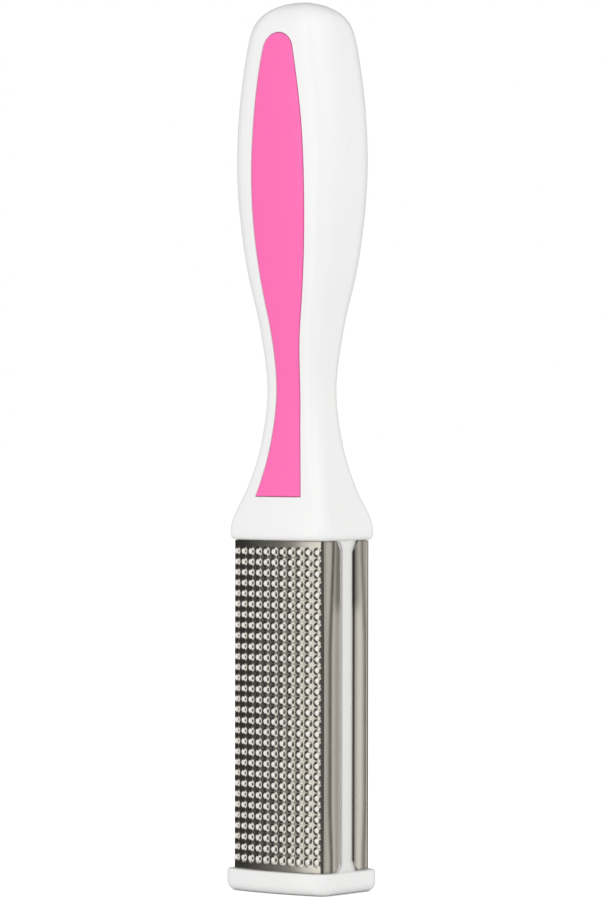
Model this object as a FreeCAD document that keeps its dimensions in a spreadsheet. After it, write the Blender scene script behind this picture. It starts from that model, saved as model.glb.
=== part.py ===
import FreeCAD, Part
import math
import os
import Sketcher
from FreeCAD import Placement, Rotation, Vector

# Two-sided foot file: a moulded paddle handle and head, two pink inlays and two stamped
# steel plates. Millimetres. +Z runs up the handle, -Y out of the coarse face, and the
# origin is the centre of the flat end that the file stands on.

doc = FreeCAD.newDocument("foot_file")
sheet = doc.addObject("Spreadsheet::Sheet", "Sizes")

SIZES = (
    # the head, measured over the steel plates
    ("head_width", 29.2, "across both flanges"),
    ("head_thickness", 22.2, "over the crowns of both plates"),
    ("face_radius", 65.0, "crown of each plate across its width"),
    ("plate_height", 82.9, "length of a plate along the head"),
    ("sheet_thickness", 0.5, "steel sheet"),
    ("bend_radius", 1.3, "outside of the bend beside the face"),
    ("lip_bend_radius", 0.7, "outside of the bend at the lip"),
    ("flange_opening", 6.0, "between the lips of the two plates"),
    ("lip_length", 1.3, "reach of a lip in from the flange face"),
    ("corner_cut_length", 2.8, "flange corner, along the head"),
    ("corner_cut_depth", 1.8, "flange corner, across the flange"),
    ("plate_gap", 0.1, "plate to moulding"),
    ("plate_end_gap", 0.15, "plate end to collar or end block"),
    ("lip_gap", 0.15, "around a lip in its groove"),
    # the stamped teeth: square feet, coarse ones with a flat tip, fine ones pointed
    ("coarse_column_pitch", 2.6, "coarse teeth, across the face"),
    ("coarse_row_pitch", 2.66, "coarse teeth, along the head"),
    ("coarse_base", 1.25, "side of a coarse tooth's foot"),
    ("coarse_tip", 0.42, "side of its flat tip"),
    ("coarse_rise", 0.55, "coarse tooth out of the sheet"),
    ("coarse_margin", 1.9, "bare sheet beyond the coarse teeth"),
    ("fine_column_pitch", 2.3, "fine teeth, across the face"),
    ("fine_row_pitch", 2.3, "fine teeth, along the head"),
    ("fine_base", 0.95, "side of a fine tooth's foot"),
    ("fine_rise", 0.35, "fine tooth out of the sheet"),
    ("fine_margin", 1.9, "bare sheet beyond the fine teeth"),
    # the side ribs between the flanges
    ("rib_thickness", 4.4, "white strip between the flanges"),
    ("rib_flare", 2.2, "fillet into the collar and the end block"),
    # the end block
    ("block_height", 5.6, "end block"),
    ("block_margin", 2.0, "block beyond the plates"),
    ("block_corner_radius", 4.0, "block corners seen from the end"),
    ("block_end_radius", 2.4, "rounding of the end that it stands on"),
    ("block_edge_radius", 0.6, "rounding of the edge beside the plates"),
    # the handle
    ("handle_length", 135.5, "underside of the collar to the top"),
    ("collar_margin", 1.25, "collar beyond the plates"),
    ("collar_lip_radius", 1.2, "rounding of the collar's lower edge"),
    ("neck_width", 17.6, "narrowest, across the wide face"),
    ("neck_thickness", 11.4, "narrowest, face to face"),
    ("neck_rise", 38.0, "neck above the collar's underside"),
    ("belly_width", 33.8, "widest, across the wide face"),
    ("belly_thickness", 21.5, "widest, face to face"),
    ("belly_rise", 95.0, "belly above the collar's underside"),
    # the inlays
    ("inlay_thickness", 1.8, "pink inlay"),
    ("inlay_gap", 0.12, "groove around an inlay and under it"),
    ("inlay_start", 11.9, "lower edge above the collar's underside"),
    ("inlay_neck_width", 7.5, "narrowest"),
    ("inlay_neck_rise", 39.6, "narrowest, above the collar's underside"),
    ("inlay_flare_radius", 120.0, "side of the inlay below its neck"),
    ("inlay_belly_width", 16.9, "widest"),
    ("inlay_belly_rise", 90.7, "widest, above the collar's underside"),
    ("inlay_top_radius", 4.9, "rounded upper end"),
    ("inlay_top_gap", 6.5, "handle beyond the inlay's upper end"),
    ("peg_diameter", 2.6, "locating pegs under an inlay"),
    ("peg_length", 1.6, "out of the inlay's underside"),
    ("peg_gap", 0.15, "around and beyond a peg in its hole"),
    # cuts run past the material by this much
    ("overrun", 4.0, "cuts and tools past the material"),
)
for row, (alias, value, note) in enumerate(SIZES, start=1):
    sheet.set(f"A{row}", alias)
    sheet.set(f"B{row}", str(value))
    sheet.set(f"C{row}", note)
    sheet.setAlias(f"B{row}", alias)
doc.recompute()

# Where each section of the handle stands, and how wide, thick and round it is there.
# The lip's rows give rise and inset as shares of the lip's radius. From the collar to the
# neck and from the neck to the belly, width and thickness are shares of the way from the
# neck's size to the collar's or the belly's. Above the belly they are shares of the belly's
# own. The last number is the corner radius as a share of half the thickness.
LIP_SECTION_shares = (
    ("lip_foot", 0.0, 0.80, 0.24),
    ("lip_low", 0.30, 0.28, 0.243),
    ("lip_high", 0.85, 0.03, 0.243),
)
COLLAR_SECTION_shares = (
    ("collar", 0.060, 1.0, 1.0, 0.243),
    ("flare_1", 0.12, 0.955, 0.97, 0.25),
    ("flare_2", 0.185, 0.83, 0.88, 0.27),
    ("flare_3", 0.291, 0.615, 0.67, 0.35),
    ("flare_4", 0.397, 0.45, 0.485, 0.43),
    ("stem_1", 0.555, 0.245, 0.27, 0.53),
    ("stem_2", 0.716, 0.10, 0.12, 0.61),
    ("stem_3", 0.877, 0.02, 0.02, 0.68),
    ("neck", 1.0, 0.0, 0.0, 0.70),
)
GRIP_SECTION_shares = (
    ("grip_1", 0.11, 0.047, 0.084, 0.69),
    ("grip_2", 0.22, 0.152, 0.226, 0.67),
    ("grip_3", 0.33, 0.304, 0.373, 0.67),
    ("grip_4", 0.42, 0.469, 0.508, 0.67),
    ("grip_5", 0.54, 0.675, 0.669, 0.67),
    ("grip_6", 0.66, 0.811, 0.806, 0.67),
    ("grip_7", 0.79, 0.92, 0.92, 0.67),
    ("belly", 1.0, 1.0, 1.0, 0.67),
)
TOP_SECTION_shares = (
    ("top_1", 0.20, 0.985, 1.0, 0.68),
    ("top_2", 0.41, 0.937, 0.997, 0.70),
    ("top_3", 0.60, 0.868, 0.982, 0.73),
    ("top_4", 0.75, 0.807, 0.95, 0.78),
    ("top_5", 0.85, 0.738, 0.89, 0.83),
    ("top_6", 0.92, 0.615, 0.75, 0.87),
    ("top_7", 0.965, 0.445, 0.545, 0.90),
    ("top_8", 0.990, 0.27, 0.33, 0.92),
    ("top_9", 1.0, 0.14, 0.165, 0.92),
)
PEG_SECTIONS = ("stem_1", "grip_2", "grip_6", "top_2")

# Heights and offsets that several pieces share
HALF_WIDTH = "Sizes.head_width / 2"
HALF_THICKNESS = "Sizes.head_thickness / 2"
HEAD_HEIGHT = "(Sizes.plate_height + 2 * Sizes.plate_end_gap)"
COLLAR_FOOT = f"(Sizes.block_height + {HEAD_HEIGHT})"
LIP = "Sizes.flange_opening / 2"
CORE_INSET = "(Sizes.sheet_thickness + Sizes.plate_gap)"
HANDLE_CROWN = "Sizes.face_radius + Sizes.collar_margin"
COLLAR_HALF_WIDTH = f"({HALF_WIDTH} + Sizes.collar_margin)"
COLLAR_HALF_THICKNESS = f"({HALF_THICKNESS} + Sizes.collar_margin)"
NECK_HALF_WIDTH = "(Sizes.neck_width / 2)"
NECK_HALF_THICKNESS = "(Sizes.neck_thickness / 2)"
BELLY_HALF_WIDTH = "(Sizes.belly_width / 2)"
BELLY_HALF_THICKNESS = "(Sizes.belly_thickness / 2)"

ORIGIN = (-1, 1)
Y_AXIS = -2
START, END, CENTRE = 1, 2, 3
QUARTER = math.pi / 2


def size(alias):
    return float(getattr(sheet, alias))


def value_of(expression):
    """Read an expression over the sheet, so that a sketch starts close to its final form."""
    return float(sheet.evalExpression(expression.replace("Sizes.", "")))


def arc(centre, radius, first, last):
    circle = Part.Circle(Vector(centre[0], centre[1], 0), Vector(0, 0, 1), radius)
    return Part.ArcOfCircle(circle, first, last)


def line(start, end):
    return Part.LineSegment(Vector(start[0], start[1], 0), Vector(end[0], end[1], 0))


def new_sketch(body, name, role="XY_Plane", rise=None):
    plane = [feature for feature in body.Origin.OriginFeatures if feature.Role == role][0]
    sketch = body.newObject("Sketcher::SketchObject", name)
    sketch.AttachmentSupport = [(plane, "")]
    sketch.MapMode = "FlatFace"
    if rise:
        sketch.setExpression("AttachmentOffset.Base.z", rise)
    return sketch


def draw(sketch, geometry, joins, dimensions):
    """Add geometry, its joins, and its dimensions: name, constraint and expression."""
    sketch.addGeometry(geometry, False)
    first = sketch.ConstraintCount + len(joins)
    sketch.addConstraint(joins + [constraint for _, constraint, _ in dimensions])
    for index, (name, _, expression) in enumerate(dimensions, start=first):
        sketch.renameConstraint(index, name)
        sketch.setExpression(f"Constraints.{name}", expression)


def constraint(*parts):
    return Sketcher.Constraint(*parts)


def crowned_corner(half_width, half_thickness, crown, corner):
    """Centre of the arc that touches the side and the crowned face, and the crown's half angle."""
    across = half_width - corner
    angle = math.asin(across / (crown - corner))
    back = (crown - half_thickness) - (crown - corner) * math.cos(angle)
    return across, back, angle


def crowned_section(body, name, rise, half_width, half_thickness, crown, corner):
    """Rounded rectangle with crowned faces, the same on both sides of the X axis."""
    a, b, radius, small = (value_of(e) for e in (half_width, half_thickness, crown, corner))
    across, back, angle = crowned_corner(a, b, radius, small)
    sketch = new_sketch(body, name, "XY_Plane", rise)
    geometry = [
        arc((0, radius - b), radius, -QUARTER - angle, -QUARTER + angle),
        arc((across, back), small, -QUARTER + angle, 0),
        line((a, back), (a, -back)),
        arc((across, -back), small, 0, QUARTER - angle),
        arc((0, b - radius), radius, QUARTER - angle, QUARTER + angle),
        arc((-across, -back), small, QUARTER + angle, 2 * QUARTER),
        line((-a, -back), (-a, back)),
        arc((-across, back), small, 2 * QUARTER, 3 * QUARTER - angle),
    ]
    count = len(geometry)
    joins = [constraint("Tangent", i, END, (i + 1) % count, START) for i in range(count)]
    joins += [constraint("Vertical", side) for side in (2, 6)]
    joins += [constraint("PointOnObject", face, CENTRE, Y_AXIS) for face in (0, 4)]
    joins += [constraint("Equal", 1, other) for other in (3, 5, 7)]
    joins += [constraint("Equal", 0, 4)]
    setback = f"({crown}) - ({half_thickness})"
    draw(sketch, geometry, joins, [
        ("corner", constraint("Radius", 1, small), corner),
        ("crown", constraint("Radius", 0, radius), crown),
        ("front", constraint("DistanceY", *ORIGIN, 0, CENTRE, radius - b), setback),
        ("back", constraint("DistanceY", 4, CENTRE, *ORIGIN, radius - b), setback),
        ("right", constraint("DistanceX", *ORIGIN, 2, START, a), half_width),
        ("left", constraint("DistanceX", 6, START, *ORIGIN, a), half_width),
    ])
    return sketch


def draw_rectangle(sketch, left, right, low, high):
    """Rectangle whose four sides are placed from the origin by expressions."""
    first = sketch.GeometryCount
    x0, x1, y0, y1 = (value_of(e) for e in (left, right, low, high))
    corners = [(x0, y0), (x1, y0), (x1, y1), (x0, y1)]
    geometry = [line(corners[i], corners[(i + 1) % 4]) for i in range(4)]
    joins = [
        constraint("Coincident", first + i, END, first + (i + 1) % 4, START) for i in range(4)]
    joins += [constraint("Horizontal", first + i) for i in (0, 2)]
    joins += [constraint("Vertical", first + i) for i in (1, 3)]
    dimensions = []
    for name, kind, index, reach, expression in (
        ("left", "DistanceX", first + 3, x0, left),
        ("right", "DistanceX", first + 1, x1, right),
        ("low", "DistanceY", first, y0, low),
        ("high", "DistanceY", first + 2, y1, high),
    ):
        if reach >= 0:
            part = constraint(kind, *ORIGIN, index, START, reach)
        else:
            part = constraint(kind, index, START, *ORIGIN, -reach)
            expression = f"-({expression})"
        dimensions.append((f"{name}_{first}", part, expression))
    draw(sketch, geometry, joins, dimensions)


def extrude(body, kind, name, sketch, length, both=False, reverse=False):
    feature = body.newObject(kind, name)
    feature.Profile = sketch
    feature.setExpression("Length", length)
    feature.Midplane = both
    feature.Reversed = reverse
    return feature


def round_edges(body, name, base, rise, radius):
    """Fillet the edges of one flat end, found by their height."""
    near = size("plate_gap")
    edges = []
    for index, edge in enumerate(base.Shape.Edges, start=1):
        heights = [abs(vertex.Z - rise) for vertex in edge.Vertexes]
        if max(heights) < near and abs(edge.CenterOfMass.z - rise) < near:
            edges.append(f"Edge{index}")
    feature = body.newObject("PartDesign::Fillet", name)
    feature.Base = (base, edges)
    feature.setExpression("Radius", radius)
    return feature


def boolean(kind, name, base, tool):
    result = doc.addObject(kind, name)
    result.Base = base
    result.Tool = tool
    return result


# The head: end block, core, lip grooves and side ribs

head = doc.addObject("PartDesign::Body", "head")
block_section = crowned_section(
    head, "block_section", None,
    f"{HALF_WIDTH} + Sizes.block_margin",
    f"{HALF_THICKNESS} + Sizes.block_margin",
    "Sizes.face_radius + Sizes.block_margin",
    "Sizes.block_corner_radius")
block = extrude(head, "PartDesign::Pad", "end_block", block_section, "Sizes.block_height")
doc.recompute()
block_end = round_edges(head, "block_end_rounding", block, 0, "Sizes.block_end_radius")
doc.recompute()
round_edges(head, "block_edge_rounding", block_end, size("block_height"), "Sizes.block_edge_radius")

core_section = crowned_section(
    head, "core_section", "Sizes.block_height",
    f"{HALF_WIDTH} - {CORE_INSET}",
    f"{HALF_THICKNESS} - {CORE_INSET}",
    f"Sizes.face_radius - {CORE_INSET}",
    f"Sizes.bend_radius - {CORE_INSET}")
extrude(head, "PartDesign::Pad", "core", core_section, HEAD_HEIGHT)

groove_section = new_sketch(head, "groove_section", "XY_Plane", "Sizes.block_height")
groove_x = (f"{HALF_WIDTH} - Sizes.lip_length - Sizes.lip_gap", f"{HALF_WIDTH} + Sizes.overrun")
groove_y = (f"{LIP} - Sizes.lip_gap", f"{LIP} + Sizes.sheet_thickness + Sizes.lip_gap")
mirrored_x = (f"-({groove_x[1]})", f"-({groove_x[0]})")
mirrored_y = (f"-({groove_y[1]})", f"-({groove_y[0]})")
for across in (groove_x, mirrored_x):
    for through in (groove_y, mirrored_y):
        draw_rectangle(groove_section, *across, *through)
extrude(head, "PartDesign::Pocket", "lip_grooves", groove_section, HEAD_HEIGHT, reverse=True)

# Seen from the side, each rib flares with a fillet into the end block and into the collar
rib_profile = new_sketch(head, "rib_profile", "YZ_Plane")
half = value_of("Sizes.rib_thickness / 2")
flare = size("rib_flare")
foot = size("block_height")
crest = value_of(COLLAR_FOOT)
rib_geometry = [
    line((-half - flare, foot), (half + flare, foot)),
    arc((half + flare, foot + flare), flare, 2 * QUARTER, 3 * QUARTER),
    line((half, foot + flare), (half, crest - flare)),
    arc((half + flare, crest - flare), flare, QUARTER, 2 * QUARTER),
    line((half + flare, crest), (-half - flare, crest)),
    arc((-half - flare, crest - flare), flare, 0, QUARTER),
    line((-half, crest - flare), (-half, foot + flare)),
    arc((-half - flare, foot + flare), flare, -QUARTER, 0),
]
rib_joins = [constraint("Tangent", *ends) for ends in (
    (0, END, 1, END), (1, START, 2, START), (2, END, 3, END), (3, START, 4, START),
    (4, END, 5, END), (5, START, 6, START), (6, END, 7, END), (7, START, 0, START))]
rib_joins += [constraint("Horizontal", index) for index in (0, 4)]
rib_joins += [constraint("Vertical", index) for index in (2, 6)]
rib_joins += [constraint("Equal", 1, other) for other in (3, 5, 7)]
draw(rib_profile, rib_geometry, rib_joins, [
    ("flare", constraint("Radius", 1, flare), "Sizes.rib_flare"),
    ("right", constraint("DistanceX", *ORIGIN, 2, START, half), "Sizes.rib_thickness / 2"),
    ("left", constraint("DistanceX", 6, START, *ORIGIN, half), "Sizes.rib_thickness / 2"),
    ("foot", constraint("DistanceY", *ORIGIN, 0, START, foot), "Sizes.block_height"),
    ("crest", constraint("DistanceY", *ORIGIN, 4, START, crest), COLLAR_FOOT),
])
ribs = extrude(head, "PartDesign::Pad", "side_ribs", rib_profile, "Sizes.head_width", both=True)
head.Tip = ribs


# The handle: one loft through its sections

def between(low, high, share):
    return f"({low} + {share} * ({high} - {low}))"


def handle_sections():
    """Name, height, half width, half thickness and corner share of each section, upwards."""
    rows = []
    for name, rise, inset, corner in LIP_SECTION_shares:
        rows.append((
            name, f"{COLLAR_FOOT} + {rise} * Sizes.collar_lip_radius",
            f"({COLLAR_HALF_WIDTH} - {inset} * Sizes.collar_lip_radius)",
            f"({COLLAR_HALF_THICKNESS} - {inset} * Sizes.collar_lip_radius)", corner))
    for name, rise, wide, thick, corner in COLLAR_SECTION_shares:
        rows.append((
            name, f"{COLLAR_FOOT} + {rise} * Sizes.neck_rise",
            between(NECK_HALF_WIDTH, COLLAR_HALF_WIDTH, wide),
            between(NECK_HALF_THICKNESS, COLLAR_HALF_THICKNESS, thick), corner))
    for name, rise, wide, thick, corner in GRIP_SECTION_shares:
        height = between("Sizes.neck_rise", "Sizes.belly_rise", rise)
        rows.append((
            name, f"{COLLAR_FOOT} + {height}",
            between(NECK_HALF_WIDTH, BELLY_HALF_WIDTH, wide),
            between(NECK_HALF_THICKNESS, BELLY_HALF_THICKNESS, thick), corner))
    for name, rise, wide, thick, corner in TOP_SECTION_shares:
        height = between("Sizes.belly_rise", "Sizes.handle_length", rise)
        rows.append((
            name, f"{COLLAR_FOOT} + {height}",
            f"({wide} * {BELLY_HALF_WIDTH})", f"({thick} * {BELLY_HALF_THICKNESS})", corner))
    return rows


def handle_form(name, rows, inset):
    """Body lofted through sections of the handle, each thinner by the inset on both faces."""
    body = doc.addObject("PartDesign::Body", name)
    sketches = []
    for label, height, half_width, half_thickness, corner in rows:
        thinner = f"({half_thickness} - {inset})"
        sketches.append(crowned_section(
            body, f"{name}_{label}", height, half_width, thinner,
            HANDLE_CROWN, f"{corner} * {thinner}"))
    loft = body.newObject("PartDesign::AdditiveLoft", f"{name}_loft")
    loft.Profile = sketches[0]
    loft.Sections = sketches[1:]
    body.Tip = loft
    return body


sections = handle_sections()
names = [row[0] for row in sections]
handle = handle_form("handle", sections, "0")

# The same form, thinner by an inlay, gives the floors of the recesses and the inlays' undersides
floor_rows = sections[names.index("flare_1"):names.index("top_8")]
floor = handle_form("recess_floor", floor_rows, "Sizes.inlay_thickness")


# The inlays, and the recesses that take them

# the belly's part of the two radii that make an inlay's side sway out from its neck
INLAY_BELLY_share = 0.643


def inlay_outline(body, name, grow):
    """Outline of an inlay in front view, grown all round."""
    start = f"({COLLAR_FOOT} + Sizes.inlay_start - {grow})"
    neck_height = f"({COLLAR_FOOT} + Sizes.inlay_neck_rise)"
    belly_height = f"({COLLAR_FOOT} + Sizes.inlay_belly_rise)"
    neck_half = f"(Sizes.inlay_neck_width / 2 + {grow})"
    belly_half = f"(Sizes.inlay_belly_width / 2 + {grow})"
    flare_radius = f"(Sizes.inlay_flare_radius - {grow})"
    top_radius = f"(Sizes.inlay_top_radius + {grow})"
    # the belly's upper arc ends inside tangent to the top's arc, which gives its radius
    top_reach = (
        "(Sizes.handle_length - Sizes.inlay_top_gap - Sizes.inlay_top_radius"
        " - Sizes.inlay_belly_rise)")
    upper_radius = (
        f"(({belly_half}^2 + {top_reach}^2 - {top_radius}^2)"
        f" / (2 * ({belly_half} - {top_radius})))")
    # and its lower arc runs outside tangent to the neck's arc
    sway = "((Sizes.inlay_belly_width - Sizes.inlay_neck_width) / 2)"
    rise = "(Sizes.inlay_belly_rise - Sizes.inlay_neck_rise)"
    both_radii = f"(({rise}^2 + {sway}^2) / (2 * {sway}))"
    belly_radius = f"({INLAY_BELLY_share} * {both_radii} + {grow})"
    z0, zn, zb, hn, hb, ru, rb, rs, rf, rt = (value_of(e) for e in (
        start, neck_height, belly_height, neck_half, belly_half,
        upper_radius, belly_radius, both_radii, flare_radius, top_radius))
    rn = rs - rb
    upper = math.acos((ru - hb) / (ru - rt))
    lower = math.asin((zb - zn) / rs)
    slope = math.asin((zn - z0) / rf)
    zt = zb + (ru - rt) * math.sin(upper)
    x0 = hn + rf - rf * math.cos(slope)
    half_turn = 2 * QUARTER
    sketch = new_sketch(body, name, "XZ_Plane")
    geometry = [
        line((-x0, z0), (x0, z0)),
        arc((hn + rf, zn), rf, half_turn, half_turn + slope),
        arc((hn + rn, zn), rn, half_turn - lower, half_turn),
        arc((hb - rb, zb), rb, -lower, 0),
        arc((hb - ru, zb), ru, 0, upper),
        arc((0, zt), rt, upper, half_turn - upper),
        arc((ru - hb, zb), ru, half_turn - upper, half_turn),
        arc((rb - hb, zb), rb, half_turn, half_turn + lower),
        arc((-hn - rn, zn), rn, 0, lower),
        arc((-hn - rf, zn), rf, -slope, 0),
    ]
    joins = [constraint("Coincident", 0, END, 1, END), constraint("Coincident", 9, START, 0, START)]
    joins += [constraint("Tangent", *ends) for ends in (
        (1, START, 2, END), (2, START, 3, START), (3, END, 4, START), (4, END, 5, START),
        (5, END, 6, START), (6, END, 7, START), (7, END, 8, END), (8, START, 9, END))]
    joins += [
        constraint("Horizontal", 0),
        constraint("Equal", 3, 7),
        constraint("Equal", 4, 6),
        constraint("Equal", 1, 9),
        constraint("Horizontal", 3, CENTRE, 7, CENTRE),
        constraint("Horizontal", 3, END, 3, CENTRE),
        constraint("Horizontal", 7, START, 7, CENTRE),
        constraint("Horizontal", 1, START, 9, END),
        constraint("Horizontal", 1, START, 2, CENTRE),
        constraint("Horizontal", 9, END, 8, CENTRE),
    ]
    offset = f"{belly_radius} - {belly_half}"
    draw(sketch, geometry, joins, [
        ("start", constraint("DistanceY", *ORIGIN, 0, START, z0), start),
        ("belly_height", constraint("DistanceY", *ORIGIN, 3, CENTRE, zb), belly_height),
        ("neck_height", constraint("DistanceY", *ORIGIN, 1, START, zn), neck_height),
        ("belly_radius", constraint("Radius", 3, rb), belly_radius),
        ("upper_radius", constraint("Radius", 4, ru), upper_radius),
        ("top_radius", constraint("Radius", 5, rt), top_radius),
        ("flare_radius", constraint("Radius", 1, rf), flare_radius),
        ("belly_right", constraint("DistanceX", 3, CENTRE, *ORIGIN, rb - hb), offset),
        ("belly_left", constraint("DistanceX", *ORIGIN, 7, CENTRE, rb - hb), offset),
        ("neck_right", constraint("DistanceX", *ORIGIN, 1, START, hn), neck_half),
        ("neck_left", constraint("DistanceX", 9, END, *ORIGIN, hn), neck_half),
    ])
    return sketch


PRISM_REACH = f"({BELLY_HALF_THICKNESS} + Sizes.overrun)"
recess_prism = doc.addObject("PartDesign::Body", "recess_prism")
recess_outline = inlay_outline(recess_prism, "recess_outline", "Sizes.inlay_gap")
extrude(recess_prism, "PartDesign::Pad", "recess_pad", recess_outline, f"2 * {PRISM_REACH}", both=True)
inlay_prism = doc.addObject("PartDesign::Body", "inlay_prism")
inlay_sketch = inlay_outline(inlay_prism, "inlay_outline", "0")
extrude(inlay_prism, "PartDesign::Pad", "inlay_pad", inlay_sketch, PRISM_REACH)


def cross_cylinder(name, height, radius, near, length):
    """Cylinder along +Y that starts at the front, at a section's height."""
    cylinder = doc.addObject("Part::Cylinder", name)
    cylinder.Placement = Placement(Vector(0, 0, 0), Rotation(Vector(1, 0, 0), -90))
    cylinder.setExpression("Placement.Base.y", f"-({near})")
    cylinder.setExpression("Placement.Base.z", height)
    cylinder.setExpression("Radius", radius)
    cylinder.setExpression("Height", length)
    return cylinder


def mirrored(name, source):
    mirror = doc.addObject("Part::Mirroring", name)
    mirror.Source = source
    mirror.Normal = Vector(0, 1, 0)
    return mirror


pegs = []
peg_holes = []
for name, height, _, half_thickness, _ in sections:
    if name in PEG_SECTIONS:
        pegs.append(cross_cylinder(
            f"peg_{name}", height, "Sizes.peg_diameter / 2",
            f"{half_thickness} - Sizes.inlay_thickness / 2",
            "Sizes.inlay_thickness / 2 + Sizes.peg_length"))
        peg_holes.append(cross_cylinder(
            f"peg_hole_{name}", height, "Sizes.peg_diameter / 2 + Sizes.peg_gap",
            half_thickness, "Sizes.inlay_thickness + Sizes.peg_length + Sizes.peg_gap"))

inlay_blank = boolean("Part::Cut", "inlay_blank", inlay_prism, floor)
inlay_shell = boolean("Part::Common", "inlay_shell", inlay_blank, handle)
inlay_front = doc.addObject("Part::MultiFuse", "inlay_front")
inlay_front.Shapes = [inlay_shell] + pegs
inlay_front.setExpression("Placement.Base.y", "-Sizes.inlay_gap")
inlay_back = mirrored("inlay_back", inlay_front)

recess = boolean("Part::Cut", "recess", recess_prism, floor)
front_holes = doc.addObject("Part::MultiFuse", "front_holes")
front_holes.Shapes = peg_holes
cutters = doc.addObject("Part::MultiFuse", "cutters")
cutters.Shapes = [recess, front_holes, mirrored("back_holes", front_holes)]
moulding = boolean("Part::Fuse", "moulding", head, handle)
moulding.Refine = True
frame = boolean("Part::Cut", "frame", moulding, cutters)


# The stamped plates. Each face is one flat strip for each column of teeth, set around the
# crown, and the teeth are part of the same shell as their strip.

CROWN_AXIS_Y = size("face_radius") - size("head_thickness") / 2
CROWN_ANGLE = crowned_corner(
    size("head_width") / 2, size("head_thickness") / 2,
    size("face_radius"), size("bend_radius"))[2]


def on_crown(radius, angle):
    """Point at an angle from the middle of the face, on a circle around the crown's axis."""
    return Vector(radius * math.sin(angle), CROWN_AXIS_Y - radius * math.cos(angle), 0)


def plate_profile(borders, inset, opening):
    """Cross-section bounded by the strips, the bends and the flanges, closed by a flat line."""
    radius = size("face_radius") - inset
    bend = size("bend_radius") - inset
    side = size("head_width") / 2 - inset
    across = side - bend
    back = CROWN_AXIS_Y - (radius - bend) * math.cos(CROWN_ANGLE)
    points = [on_crown(radius, border) for border in borders]
    edges = [Part.makeLine(first, last) for first, last in zip(points, points[1:])]
    edges.append(arc((across, back), bend, CROWN_ANGLE - QUARTER, 0).toShape())
    edges.append(line((side, back), (side, -opening)).toShape())
    edges.append(line((side, -opening), (-side, -opening)).toShape())
    edges.append(line((-side, -opening), (-side, back)).toShape())
    edges.append(arc((-across, back), bend, 2 * QUARTER, 3 * QUARTER - CROWN_ANGLE).toShape())
    return Part.Face(Part.Wire(Part.__sortEdges__(edges)))


def plate_blank(borders):
    """Channel with a crowned face, two flanges, inward lips and cut flange corners."""
    thickness = size("sheet_thickness")
    opening = size("flange_opening") / 2
    height = Vector(0, 0, size("plate_height"))
    side = size("head_width") / 2
    overrun = size("overrun")
    channel = plate_profile(borders, 0, opening).extrude(height)
    bends = []
    for edge in channel.Edges:
        middle = edge.CenterOfMass
        upright = edge.BoundBox.ZLength > thickness
        if upright and abs(middle.y + opening) < size("plate_gap") and abs(middle.x) > side / 2:
            bends.append(edge)
    channel = channel.makeFillet(size("lip_bend_radius"), bends)
    hollow = plate_profile(borders, thickness, opening + thickness).extrude(height)
    inner_bends = []
    for edge in hollow.Edges:
        middle = edge.CenterOfMass
        upright = edge.BoundBox.ZLength > thickness
        if upright and abs(middle.y + opening + thickness) < size("plate_gap") and abs(middle.x) > side / 2:
            inner_bends.append(edge)
    hollow = hollow.makeFillet(size("lip_bend_radius") - thickness, inner_bends)
    mouth_side = side - size("lip_length")
    mouth = Part.makeBox(
        2 * mouth_side, thickness + overrun, size("plate_height"),
        Vector(-mouth_side, -opening - thickness, 0))
    cuts = [hollow, mouth]
    for end, inward in ((0, 1), (size("plate_height"), -1)):
        tip = Vector(-side - overrun, -opening, end)
        corner = Part.makePolygon([
            tip,
            tip + Vector(0, 0, inward * size("corner_cut_length")),
            tip - Vector(0, size("corner_cut_depth"), 0),
            tip])
        cuts.append(Part.Face(corner).extrude(Vector(2 * (side + overrun), 0, 0)))
    return channel.cut(cuts)


def tooth_faces(foot_centre, across, outward, base, tip, rise):
    """Side faces and flat tip of one tooth, and the outline of its foot."""
    along = Vector(0, 0, 1)
    turns = ((-1, -1), (1, -1), (1, 1), (-1, 1))
    foot = [foot_centre + across * (u * base / 2) + along * (w * base / 2) for u, w in turns]
    top_centre = foot_centre + outward * rise
    if tip:
        top = [top_centre + across * (u * tip / 2) + along * (w * tip / 2) for u, w in turns]
        faces = [Part.Face(Part.makePolygon(top + top[:1]))]
    else:
        top = [top_centre] * 4
        faces = []
    for here in range(4):
        there = (here + 1) % 4
        ring = [foot[here], foot[there], top[there]]
        if tip:
            ring.append(top[here])
        faces.append(Part.Face(Part.makePolygon(ring + ring[:1])))
    return faces, Part.makePolygon(foot + foot[:1])


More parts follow.
